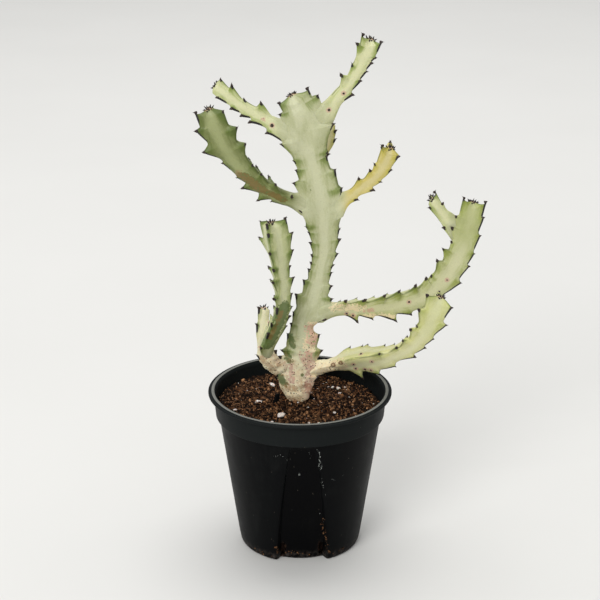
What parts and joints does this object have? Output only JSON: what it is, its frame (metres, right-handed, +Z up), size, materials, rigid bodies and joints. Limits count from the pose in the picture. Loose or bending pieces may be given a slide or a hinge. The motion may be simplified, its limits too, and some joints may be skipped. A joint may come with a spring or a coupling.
{
  "type": "potted euphorbia",
  "caption": "Ribbed pale green euphorbia with waved, toothed branches, in brown potting mix in a round black nursery pot.",
  "frame": {"origin": "middle of the pot's flat underside", "axes": "+Z up through the pot, -Y towards the viewer, +X to the viewer's right"},
  "size_m": [0.2004, 0.1297, 0.3693],
  "materials": {
    "pot_plastic": "dusty black moulded plastic",
    "potting_mix": "loose brown coco fibre and bark",
    "pale_stem": "waxy pale green skin",
    "green_stem": "waxy green skin",
    "yellow_stem": "waxy yellow skin"
  },
  "bodies": {
    "root": {"nursery_pot": "pot_plastic", "potting_mix": "potting_mix", "trunk": "pale_stem", "upper_right_branch": "pale_stem", "upper_left_branch": "pale_stem", "large_left_branch": "green_stem", "yellow_right_branch": "yellow_stem", "yellow_back_shoot": "yellow_stem", "lower_left_stem": "pale_stem", "lower_left_shoot": "green_stem", "lower_right_branch": "pale_stem", "middle_right_branch": "pale_stem", "middle_right_shoot": "pale_stem"}
  },
  "joints": []
}
